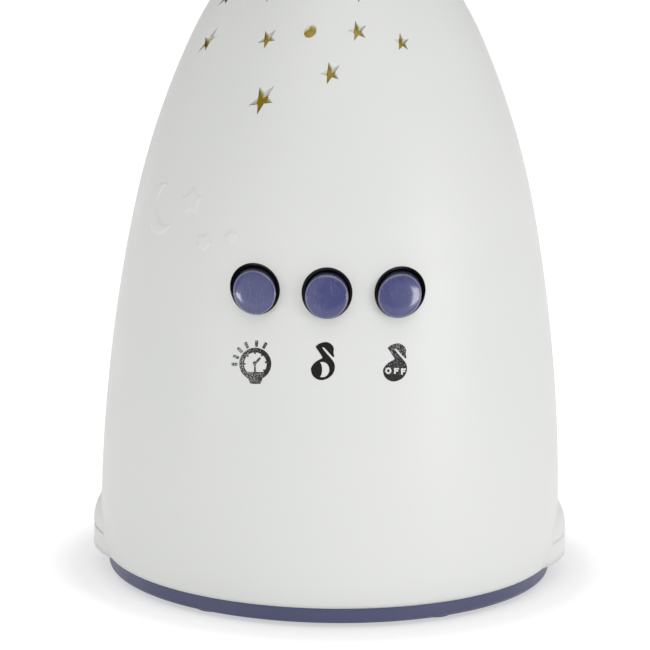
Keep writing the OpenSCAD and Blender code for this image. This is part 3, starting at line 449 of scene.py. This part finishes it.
def cell_jacket():
    """Printed sleeve of a cell: a grey body with a plain dark band, and bare metal at both ends."""
    look = Look("cell_jacket")
    along = look.math("ABSOLUTE", look.axes(look.coords)[0])
    after_start, after_end, bare = (look.mask(along, at * MM, (at + CELL_PRINT_EDGE) * MM)
                                    for at in (*CELL_BAND, CELL_SLEEVE_END))
    sleeve = look.mix(look.minus(after_start, after_end), (0.13, 0.15, 0.17), (0.02, 0.035, 0.07))
    rubbed = look.span(look.noise(160.0, 3.0), 0.0, 0.35, 0.45, 0.75)
    worn = look.mix(rubbed, sleeve, (0.28, 0.29, 0.3))
    look.colour(look.mix(bare, worn, (0.6, 0.6, 0.58)))
    look.feed("Metallic", look.plus(look.times(bare, 0.85), 0.1))
    look.rough(look.noise(500.0), 0.26, 0.4)
    look.bump(look.noise(700.0), 0.1, 0.05 * MM)
    return look.material


def lamp_clear():
    look = Look("lamp_clear", Transmission_Weight=0.85, IOR=1.5)
    look.colour(look.mottle(look.noise(400.0), (0.86, 0.85, 0.78), (0.9, 0.9, 0.84)))
    look.rough(look.noise(900.0), 0.06, 0.16)
    return look.material


def magnet_iron():
    look = Look("magnet_iron", Metallic=0.6)
    look.colour(look.mottle(look.noise(600.0, 4.0, 0.7), 0.03, 0.07))
    look.rough(look.noise(800.0, 3.0), 0.5, 0.75)
    look.bump(look.noise(1500.0, 3.0), 0.4, 0.1 * MM)
    return look.material


def cone_paper():
    look = Look("cone_paper", Sheen_Weight=0.3)
    fibres = look.noise(1400.0, 4.0, 0.7)
    look.colour(look.mottle(fibres, 0.015, 0.035))
    look.rough(fibres, 0.7, 0.9)
    look.bump(fibres, 0.5, 0.1 * MM)
    return look.material


def foot_rubber():
    look = Look("foot_rubber")
    look.colour(look.mottle(look.noise(500.0, 3.0), 0.028, 0.042))
    look.rough(look.noise(900.0), 0.62, 0.8)
    look.bump(look.noise(1800.0, 3.0), 0.35, 0.08 * MM)
    return look.material


def lead_jacket():
    """Red and black leads: one material whose colour changes from place to place."""
    look = Look("lead_jacket")
    look.colour(look.ramp(look.noise(90.0, 1.0), [(0.45, (0.30, 0.012, 0.01)), (0.55, (0.02, 0.02, 0.022))]))
    look.rough(look.noise(700.0), 0.35, 0.5)
    look.bump(look.noise(1600.0), 0.1, 0.05 * MM)
    return look.material


def sign_ink(name, dark, pale, share, axis="X", fades=(0.0, 1.0), lean=0.0):
    """Pad-printed ink: near black with pale pinholes where it didn't take.

    A larger share gives more pinholes. With a lean they get more from one end of fades to the other.
    """
    look = Look(name, IOR=1.4, Specular_IOR_Level=0.3)
    along = look.axes(look.coords)["XYZ".index(axis)]
    grain = look.noise(3400.0, 2.0, 0.7)
    thinned = look.plus(grain, look.span(along, -lean, lean, fades[0] * MM, fades[1] * MM))
    holes = look.mask(thinned, 0.72 - share, 0.86 - share)
    look.colour(look.mix(holes, (dark, dark, dark), (pale, pale, pale)))
    look.rough(look.noise(900.0), 0.4, 0.55)
    look.bump(grain, 0.1, 0.03 * MM)
    return look.material


SLOT_LOOKS = {
    "shell_plastic": shell_plastic,
    "amber_plastic": amber_plastic,
    "purple_plastic": purple_plastic,
    "base_plastic": base_plastic,
    "black_plastic": black_plastic,
    "board_laminate": board_laminate,
    "screw_steel": lambda: metal("screw_steel", (0.56, 0.56, 0.58), 0.24, 0.42, 900.0),
    "contact_metal": lambda: metal("contact_metal", (0.68, 0.66, 0.6), 0.14, 0.28, 700.0),
    "cell_jacket": cell_jacket,
    "lamp_clear": lamp_clear,
    "magnet_iron": magnet_iron,
    "cone_paper": cone_paper,
    "foot_rubber": foot_rubber,
    "lead_jacket": lead_jacket,
}


def dress_nodes():
    """Gives every CAD node the look of its slot."""
    made = {}
    for part in frame["record"]["subparts"]:
        slot = part["material_slot"]
        if slot not in made:
            made[slot] = SLOT_LOOKS[slot]()
        node = frame["nodes"][part["node"]]
        node.data.materials.clear()
        node.data.materials.append(made[slot])
    return made


CAPS = ("button_left", "button_middle", "button_right")
CAP_EDGE = 0.45


def round_caps():
    """Joins the faces of each cap's mesh and rounds its sharp edges, by modifiers alone."""
    for cap in CAPS:
        piece = frame["nodes"][cap]
        weld = piece.modifiers.new("join", "WELD")
        weld.merge_threshold = 1e-6
        bevel = piece.modifiers.new("round", "BEVEL")
        bevel.width = CAP_EDGE * MM
        bevel.segments = 3
        bevel.limit_method = "ANGLE"
        bevel.angle_limit = math.radians(35.0)
        bevel.harden_normals = True


# ---------------------------------------------------------------------------------------------
# Pieces laid on the shell
# ---------------------------------------------------------------------------------------------


def open_edges(bm):
    return [edge for edge in bm.edges if len(edge.link_faces) == 1]


def add_piece(name, bm, material):
    """Makes a piece of the housing from a finished mesh."""
    bmesh.ops.recalc_face_normals(bm, faces=bm.faces)
    mesh = bpy.data.meshes.new(name)
    bm.to_mesh(mesh)
    bm.free()
    mesh.materials.append(material)
    piece = bpy.data.objects.new(name, mesh)
    scene.collection.objects.link(piece)
    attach(piece, HOUSING)


# ---------------------------------------------------------------------------------------------
# Printed signs: flat drawings with holes, laid on the shell as thin films
# ---------------------------------------------------------------------------------------------

# How far a film's top stands out of the shell, and how far its bottom lies in it
FILM_TOP = 0.03
FILM_BOTTOM = -0.08
# Where drawings overlap, each later one stands this much higher
FILM_LIFT = 0.004
# Largest cell of a film, so that it can follow the shell's curve
FILM_STEP = 0.9


def arc(x, y, rx, ry, start, end, steps):
    """Points on an ellipse round (x, y), between two angles in degrees and with both ends."""
    angles = [math.radians(start + (end - start) * i / steps) for i in range(steps + 1)]
    return [(x + rx * math.cos(a), y + ry * math.sin(a)) for a in angles]


def ellipse(x, y, rx, ry, steps):
    return arc(x, y, rx, ry, 0, 360, steps)[:-1]


def smooth_loop(points, steps):
    """A closed Catmull-Rom curve through the points, in this many steps between two of them."""
    count = len(points)
    out = []
    for i in range(count):
        p0, p1, p2, p3 = (Vector(points[(i + k - 1) % count]) for k in range(4))
        for step in range(steps):
            t = step / steps
            out.append(0.5 * (2 * p1 + (p2 - p0) * t + (2 * p0 - 5 * p1 + 4 * p2 - p3) * t * t
                              + (3 * p1 - p0 - 3 * p2 + p3) * t * t * t))
    return [(p.x, p.y) for p in out]


def bar(x, y, length, width, angle, corner=0.25):
    """A bar with its middle at (x, y), along an angle in degrees, corners cut by a share of its width."""
    cut = corner * width
    h, w = length / 2, width / 2
    lower = [(-h, -w + cut), (-h + cut, -w), (h - cut, -w), (h, -w + cut)]
    upper = [(h, w - cut), (h - cut, w), (-h + cut, w), (-h, w - cut)]
    a = math.radians(angle)
    return [(x + p * math.cos(a) - q * math.sin(a), y + p * math.sin(a) + q * math.cos(a))
            for p, q in lower + upper]


def flat_mesh(loops, step):
    """Fills loops by the even-odd rule and cuts the fill into cells no larger than step."""
    curve = bpy.data.curves.new("loops", "CURVE")
    curve.dimensions = "2D"
    curve.fill_mode = "BOTH"
    for loop in loops:
        spline = curve.splines.new("POLY")
        spline.points.add(len(loop) - 1)
        for point, (x, y) in zip(spline.points, loop):
            point.co = (x, y, 0.0, 1.0)
        spline.use_cyclic_u = True
    holder = bpy.data.objects.new("loops", curve)
    mesh = bpy.data.meshes.new_from_object(holder)
    bpy.data.objects.remove(holder)
    bpy.data.curves.remove(curve)
    bm = bmesh.new()
    bm.from_mesh(mesh)
    bpy.data.meshes.remove(mesh)
    bmesh.ops.remove_doubles(bm, verts=bm.verts, dist=1e-4)
    for axis, normal in enumerate((Vector((1, 0, 0)), Vector((0, 1, 0)))):
        low = min(v.co[axis] for v in bm.verts)
        high = max(v.co[axis] for v in bm.verts)
        at = math.floor(low / step) * step
        while at < high:
            geometry = bm.verts[:] + bm.edges[:] + bm.faces[:]
            bmesh.ops.bisect_plane(bm, geom=geometry, plane_co=normal * at, plane_no=normal, dist=1e-5)
            at += step
    return bm


def add_film(name, azimuth, z, loops, material, top=FILM_TOP):
    """A closed thin film on the shell, in the shape of a flat drawing."""
    bm = flat_mesh(loops, FILM_STEP)
    faces = bm.faces[:]
    border = open_edges(bm)
    lower = {v: bm.verts.new(wrap(azimuth, z, v.co.x, v.co.y, FILM_BOTTOM)) for v in bm.verts[:]}
    for face in faces:
        bm.faces.new([lower[v] for v in reversed(face.verts)])
    for edge in border:
        a, b = edge.verts
        bm.faces.new((a, b, lower[b], lower[a]))
    for v in lower:
        v.co = wrap(azimuth, z, v.co.x, v.co.y, top)
    add_piece(name, bm, material)


def fitted(loops, fit):
    """Lays a drawing in tenths of a millimetre out on the curved, leaning wall, in millimetres."""
    a, b, c, d = fit
    return [[(0.1 * (a * x + b * y), 0.1 * (c * x + d * y)) for x, y in loop] for loop in loops]


# The drawings below are in tenths of a millimetre

# The bulb: radius of its clear glass and of its outline, and the level line that ends the glass
GLASS_R = 28.2
BULB_R = 39.6
BULB_FILL_Y = -19.8
# The clock's marks: their middles' distance from the middle, and their angles in degrees
MARK_AT_R = 27.5
MARK_ANGLES = (-36, 9, 52, 91, 135, 180)
# Middles of the rays
RAYS = ((-52.4, -1.2), (-48.6, 16.7), (-38.5, 33.2), (-21.8, 45.8), (3.2, 49.6), (23.4, 44.7))


def bulb_ring():
    """The bulb's round outline with its glass cut out down to a level line."""
    start = math.degrees(math.asin(BULB_FILL_Y / GLASS_R))
    return [ellipse(-0.3, 0, BULB_R, BULB_R, 64), arc(0, 0, GLASS_R, GLASS_R, start, 180 - start, 48)]


def clock_marks():
    marks = []
    for angle in MARK_ANGLES:
        a = math.radians(angle)
        marks.append(bar(MARK_AT_R * math.cos(a), MARK_AT_R * math.sin(a), 6.5, 4.2, angle, 0.2))
    return marks


def clock_hands():
    return [bar(-0.6, -8.6, 23.0, 4.0, 90), bar(6.0, 8.2, 19.0, 5.6, 47), ellipse(-1.3, 2.0, 4.6, 4.6, 20)]


def bulb_neck():
    return [(-23.8, BULB_FILL_Y), (-25.5, -24.7), (-21.6, -29.5), (-18.2, -34.7), (-15.0, -42.0),
            (-12.0, -47.6), (-10.2, -48.9), (11.4, -48.9), (13.2, -47.6), (15.8, -42.0), (18.0, -34.7),
            (20.8, -29.5), (25.0, -24.7), (19.5, BULB_FILL_Y)]


def bulb_rays():
    return [bar(x, y, 16.0, 7.4, math.degrees(math.atan2(y, x)), 0.18) for x, y in RAYS]


def note():
    """A bold note drawn as one stroke: round head, leaning stem, hooked flag with a slit."""
    head = [(-29.6, -21.0), (-26.5, -33.0), (-18.5, -42.0), (-6.5, -46.6), (5.5, -45.2), (18.5, -38.3),
            (27.2, -26.8), (29.8, -13.5), (26.8, -2.3), (20.0, 7.0), (10.4, 17.6)]
    slit = [(-0.6, 31.2), (0.2, 33.4), (3.4, 32.4), (12.8, 22.6), (21.6, 13.0), (26.4, 9.6), (28.2, 11.2)]
    flag = [(26.4, 21.0), (27.0, 31.0), (21.5, 40.5), (9.0, 46.4), (-7.5, 43.0), (-17.4, 35.6),
            (-16.6, 32.4)]
    stem = [(-10.6, 24.0), (-2.0, 10.6), (-1.6, 8.2), (-3.2, 6.0), (-10.5, 2.6), (-19.0, -3.2),
            (-26.6, -12.0)]
    return smooth_loop(head + slit + flag + stem, 5)


def crescent():
    """The hole in the head of the plain note."""
    return arc(-1.0, -21.0, 17.2, 18.8, 113, -113, 22) + arc(-9.8, -21.0, 8.0, 18.7, -66, 66, 16)


# Width of the strokes of the word OFF
LETTER_STROKE = 4.5


def letter_o(x, y, half_w, half_h):
    return [ellipse(x, y, half_w - inset, half_h - inset, 28) for inset in (0.0, LETTER_STROKE)]


def letter_f(x, y, width, height):
    """A letter F from its lower left corner, as one loop."""
    right, arm_right, stem_right = x + width, x + 0.86 * width, x + LETTER_STROKE
    thickness = 0.9 * LETTER_STROKE
    arm, top = y + 0.40 * height, y + height
    return [[(x, y), (stem_right, y), (stem_right, arm), (arm_right, arm), (arm_right, arm + thickness),
             (stem_right, arm + thickness), (stem_right, top - thickness), (right, top - thickness),
             (right, top), (x, top)]]


# Place of each sign, as its azimuth in degrees and its height, and how its drawing lies on the wall there
LAMP_SIGN = (-18.16, 66.6, (1.066, -0.061, 0.100, 1.018))
MUSIC_SIGN = (-0.69, 68.35, (1.0, -0.021, 0.025, 1.018))
OFF_SIGN = (17.83, 67.8, (1.046, 0.02, -0.053, 1.02))
# Between these places across, or up, the ink of a sign gets thinner
LAMP_FADES_X = (-14.2, -21.5)
OFF_FADES_Z = (64.0, 70.5)


def add_lamp_sign():
    """A bulb whose glass is a clock face: its ring, its marks and hands, its neck and its rays."""
    worn = sign_ink("sign_ink_worn", 0.014, 0.36, 0.17, "X", LAMP_FADES_X, 0.09)
    thin = sign_ink("sign_ink_thin", 0.022, 0.42, 0.22, "X", LAMP_FADES_X, 0.05)
    azimuth, z, fit = LAMP_SIGN
    marks = [(loop, worn) for loop in clock_marks()] + [(loop, thin) for loop in clock_hands()]
    add_film("sign_lamp_ring", azimuth, z, fitted(bulb_ring(), fit), worn)
    for i, (loop, ink) in enumerate(marks):
        add_film("sign_lamp_mark_%d" % i, azimuth, z, fitted([loop], fit), ink, FILM_TOP + FILM_LIFT)
    add_film("sign_lamp_neck", azimuth, z, fitted([bulb_neck()], fit), thin, FILM_TOP + 2 * FILM_LIFT)
    for i, loop in enumerate(bulb_rays()):
        add_film("sign_lamp_ray_%d" % i, azimuth, z, fitted([loop], fit), thin)


def add_music_signs():
    """A note with a crescent in its head, and the same note with the word OFF."""
    solid = sign_ink("sign_ink", 0.004, 0.03, 0.0)
    azimuth, z, fit = MUSIC_SIGN
    add_film("sign_music", azimuth, z, fitted([note(), crescent()], fit), solid)
    patchy = sign_ink("sign_ink_patchy", 0.012, 0.32, 0.16, "Z", OFF_FADES_Z, 0.055)
    azimuth, z, fit = OFF_SIGN
    off = letter_o(-16.6, -20.5, 7.6, 8.2)
    off += letter_f(-2.6, -28.3, 12.4, 14.8)
    off += letter_f(14.6, -29.9, 12.4, 15.2)
    add_film("sign_music_off", azimuth, z, fitted([note()] + off, fit), patchy)


# ---------------------------------------------------------------------------------------------
# Relief: a plain moulded crescent with three stars, at the left of the shell
# ---------------------------------------------------------------------------------------------

# Its azimuth in degrees and its height, and half its width and half its height
RELIEF_AT = (-50.0, 99.0)
RELIEF_HALF_U, RELIEF_HALF_V = 23.0, 10.0
# How high it stands, how wide its slope is, and the size of its grid's cells
RELIEF_H = 0.28
RELIEF_SLOPE = 0.9
RELIEF_STEP = 0.36
# How far its border lies in the wall, how fast it dips beyond its slope, and how far in it is closed
RELIEF_BORDER = 0.09
RELIEF_DIP = 0.05
RELIEF_BACK = 0.6
# The moon's disc and the disc that cuts it to a crescent: middle and radius
MOON = (-7.2, 1.0, 6.5)
MOON_CUT = (-4.4, 2.4, 5.2)
# The stars: middle, radius and turn in radians. The waist is the share of the radius between two points
STARS = ((5.0, 4.8, 3.8, 0.2), (11.6, -4.6, 2.8, 0.6), (19.6, -2.2, 2.2, 0.0))
STAR_WAIST = 0.62
STAR_SHARPNESS = 2.2


def relief_depth(u, v):
    """How far a point lies inside the ornament, or outside it where the number is negative."""
    moon_u, moon_v, moon_r = MOON
    cut_u, cut_v, cut_r = MOON_CUT
    depth = min(moon_r - math.hypot(u - moon_u, v - moon_v), math.hypot(u - cut_u, v - cut_v) - cut_r)
    for star_u, star_v, size, turn in STARS:
        from_point = (math.atan2(v - star_v, u - star_u) + turn) % (2 * math.pi / 5) - math.pi / 5
        edge = STAR_WAIST * size / math.cos(abs(from_point) - math.pi / 5) ** STAR_SHARPNESS
        depth = max(depth, edge - math.hypot(u - star_u, v - star_v))
    return depth


def relief_out(depth):
    """How far the relief stands out of the shell at a depth inside the ornament."""
    t = max(0.0, min(1.0, (depth + RELIEF_SLOPE / 2) / RELIEF_SLOPE))
    rise = t * t * (3 - 2 * t)
    dip = RELIEF_DIP * max(0.0, -depth - RELIEF_SLOPE / 2)
    return (RELIEF_H + RELIEF_BORDER) * rise - RELIEF_BORDER - dip


def add_relief(material):
    columns = int(2 * RELIEF_HALF_U / RELIEF_STEP)
    rows = int(2 * RELIEF_HALF_V / RELIEF_STEP)
    bm = bmesh.new()
    front, back = {}, {}
    for i in range(columns + 1):
        for j in range(rows + 1):
            u, v = -RELIEF_HALF_U + i * RELIEF_STEP, -RELIEF_HALF_V + j * RELIEF_STEP
            depth = relief_depth(u, v)
            if depth < -RELIEF_SLOPE - 2 * RELIEF_STEP:
                continue
            front[i, j] = bm.verts.new(wrap(*RELIEF_AT, u, v, relief_out(depth)))
            back[front[i, j]] = bm.verts.new(wrap(*RELIEF_AT, u, v, -RELIEF_BACK))
    for i in range(columns):
        for j in range(rows):
            corners = [(i, j), (i + 1, j), (i + 1, j + 1), (i, j + 1)]
            if all(corner in front for corner in corners):
                cell = [front[corner] for corner in corners]
                bm.faces.new(cell)
                bm.faces.new([back[v] for v in reversed(cell)])
    for edge in [edge for edge in open_edges(bm) if all(v in back for v in edge.verts)]:
        a, b = edge.verts
        bm.faces.new((a, b, back[b], back[a]))
    bmesh.ops.delete(bm, geom=[v for v in bm.verts if not v.link_faces], context="VERTS")
    for face in bm.faces:
        face.smooth = True
    add_piece("shell_relief", bm, material)


# ---------------------------------------------------------------------------------------------
# Floor and lights, in metres
# ---------------------------------------------------------------------------------------------

FLOOR_HALF = 6.0
FLOOR_CELLS = 24
# The floor lies this far under the feet, so that their soles show from below
FLOOR_GAP = 0.05 * MM
# How much the floor shines by itself, by the distance from the object's middle: less near its base, as a
# painted shadow
FLOOR_GLOW_AND_PAINTED_SHADOW = [(0.066, 0.52), (0.08, 0.77), (0.7, 0.77)]

WORLD_STRENGTH = 0.55
LIGHTS_AIM = Vector((0.0, 0.0, 0.09))
LIGHTS_DISTANCE = 1.05


def floor_paper():
    """Plain pale paper that shines by itself, less near the object as a painted shadow, and clear from below
    so that the underside can be looked at.
    """
    look = Look("floor_paper", Roughness=0.9, Specular_IOR_Level=0.1, Emission_Color=(1.0, 1.0, 1.0, 1.0))
    look.colour(look.mottle(look.noise(3.0), 0.49, 0.51))
    away = look.add("ShaderNodeVectorMath", operation="LENGTH")
    look.link(look.coords, away.inputs[0])
    # Less glow near the base: a painted shadow
    look.feed("Emission Strength", look.ramp(away.outputs["Value"], FLOOR_GLOW_AND_PAINTED_SHADOW))
    sides = look.add("ShaderNodeMixShader")
    look.link(look.add("ShaderNodeNewGeometry").outputs["Backfacing"], sides.inputs["Fac"])
    look.link(look.shader.outputs["BSDF"], sides.inputs[1])
    look.link(look.add("ShaderNodeBsdfTransparent").outputs["BSDF"], sides.inputs[2])
    look.link(sides.outputs["Shader"], look.tree.nodes["Material Output"].inputs["Surface"])
    return look.material


def add_floor():
    bm = bmesh.new()
    bmesh.ops.create_grid(bm, x_segments=FLOOR_CELLS, y_segments=FLOOR_CELLS, size=FLOOR_HALF)
    mesh = bpy.data.meshes.new("floor")
    bm.to_mesh(mesh)
    bm.free()
    mesh.materials.append(floor_paper())
    floor = bpy.data.objects.new("floor", mesh)
    floor.location.z = -FLOOR_GAP
    scene.collection.objects.link(floor)


def add_world():
    world = bpy.data.worlds.new("studio")
    scene.world = world
    world.use_nodes = True
    background = world.node_tree.nodes["Background"]
    background.inputs["Color"].default_value = (1.0, 1.0, 1.0, 1.0)
    background.inputs["Strength"].default_value = WORLD_STRENGTH


def at_azimuth(degrees, z):
    """A light's place, by its azimuth from the front and its height."""
    a = math.radians(degrees)
    return (LIGHTS_DISTANCE * math.sin(a), -LIGHTS_DISTANCE * math.cos(a), z)


def add_light(name, at, width, height, watts):
    data = bpy.data.lights.new(name, "AREA")
    data.shape = "RECTANGLE"
    data.size = width
    data.size_y = height
    data.energy = watts
    light = bpy.data.objects.new(name, data)
    light.location = at
    light.rotation_euler = (LIGHTS_AIM - Vector(at)).to_track_quat("-Z", "Y").to_euler()
    scene.collection.objects.link(light)


def add_lights():
    add_world()
    add_light("overhead", (0.1, -0.45, 1.0), width=1.0, height=0.8, watts=2.72)
    add_light("box_right", at_azimuth(57, z=0.12), width=0.44, height=0.34, watts=3.5)
    add_light("box_left", at_azimuth(-57, z=0.04), width=0.24, height=0.14, watts=1.0)
    add_light("soft_left", at_azimuth(-31, z=0.3), width=1.0, height=0.8, watts=1.2)


scene.view_settings.view_transform = "Standard"
add_camera()
looks = dress_nodes()
round_caps()
add_lamp_sign()
add_music_signs()
add_relief(looks["shell_plastic"])
add_floor()
add_lights()
